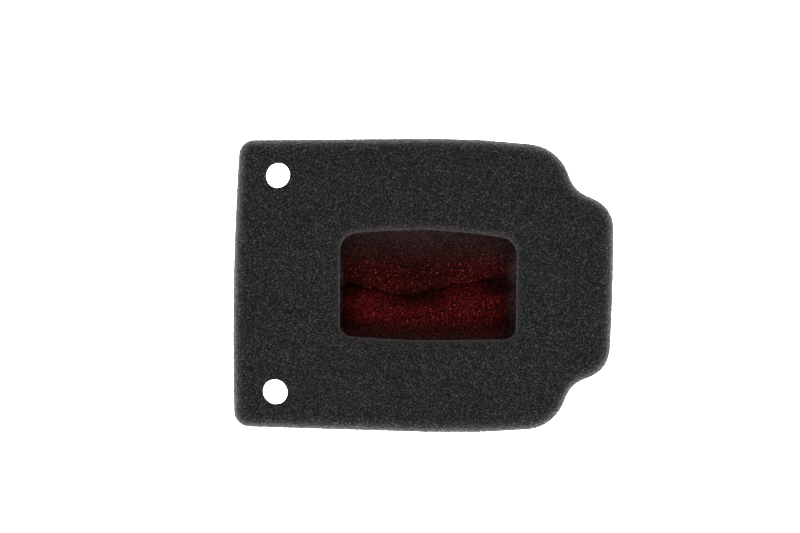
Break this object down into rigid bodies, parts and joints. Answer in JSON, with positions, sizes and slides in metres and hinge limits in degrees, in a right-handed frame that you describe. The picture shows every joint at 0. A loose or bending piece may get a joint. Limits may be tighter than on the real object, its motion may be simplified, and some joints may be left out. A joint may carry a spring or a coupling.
{
  "type": "foam air filter element",
  "caption": "Flat two-stage foam air filter pad for a small engine, with two stud holes, a narrow tab and a window onto red inner foam.",
  "frame": {"origin": "middle of the bottom of the bounding box, on the rear face that the pad lies on", "axes": "+X along the pad from the stud holes to the tab, +Y across it, +Z out of the windowed front face"},
  "size_m": [0.1, 0.0776, 0.016],
  "materials": {
    "black_foam": "fine open-cell polyurethane foam, matt black",
    "ring_foam": "fine open-cell polyurethane foam, matt black, cut face",
    "red_foam": "very fine open-cell polyurethane foam, dark red, with small glints from its cell walls",
    "backing_foam": "very fine open-cell polyurethane foam, dark red",
    "bond_film": "thin smoky adhesive film, satin"
  },
  "bodies": {
    "root": {"rear_sheet": "black_foam", "rear_bond_film": "bond_film", "spacer_ring": "ring_foam", "front_bond_film": "bond_film", "front_sheet": "black_foam", "inner_backing": "backing_foam", "upper_inner_lobe": "red_foam", "lower_inner_lobe": "red_foam"}
  },
  "joints": []
}
